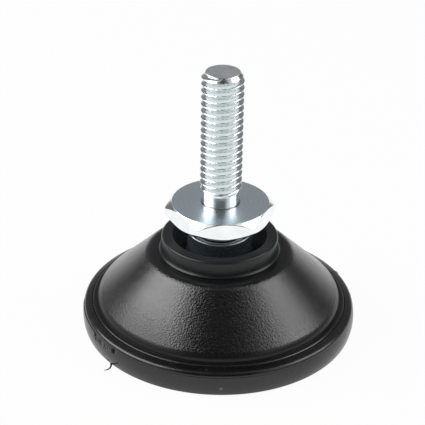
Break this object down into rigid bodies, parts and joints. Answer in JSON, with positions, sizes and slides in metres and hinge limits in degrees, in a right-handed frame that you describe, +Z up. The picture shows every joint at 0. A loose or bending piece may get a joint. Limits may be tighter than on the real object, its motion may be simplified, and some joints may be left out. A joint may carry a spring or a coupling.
{
  "type": "adjustable levelling foot",
  "caption": "Levelling foot: threaded steel stud with a hexagon and a ball that leans and turns in a socket insert, set in a conical black base with a rubber sole.",
  "frame": {"origin": "centre of the rubber sole's underside, on the floor", "axes": "+Z up along the stud, +X and +Y in the floor plane, with the picture's view looking along +Y"},
  "size_m": [0.04, 0.04, 0.0397],
  "materials": {
    "zinc_plated_steel": "bright zinc plating on turned steel",
    "smooth_black_plastic": "smooth satin black moulding",
    "grained_black_plastic": "fine spark-eroded grain, satin",
    "black_rubber": "dull grey-black rubber"
  },
  "bodies": {
    "foot": {"foot_base": "grained_black_plastic", "rubber_pad": "black_rubber"},
    "socket": {"ball_socket": "smooth_black_plastic"},
    "stud": {"ball_stud": "zinc_plated_steel"}
  },
  "joints": [
    {"name": "swivel", "type": "hinge", "parent": "foot", "child": "socket", "pos_m": [0, 0, 0.0083], "axis": [0, 0, 1], "continuous": true},
    {"name": "lean", "type": "hinge", "parent": "socket", "child": "stud", "pos_m": [0, 0, 0.0083], "axis": [1, 0, 0], "range_deg": [-15, 15]}
  ]
}
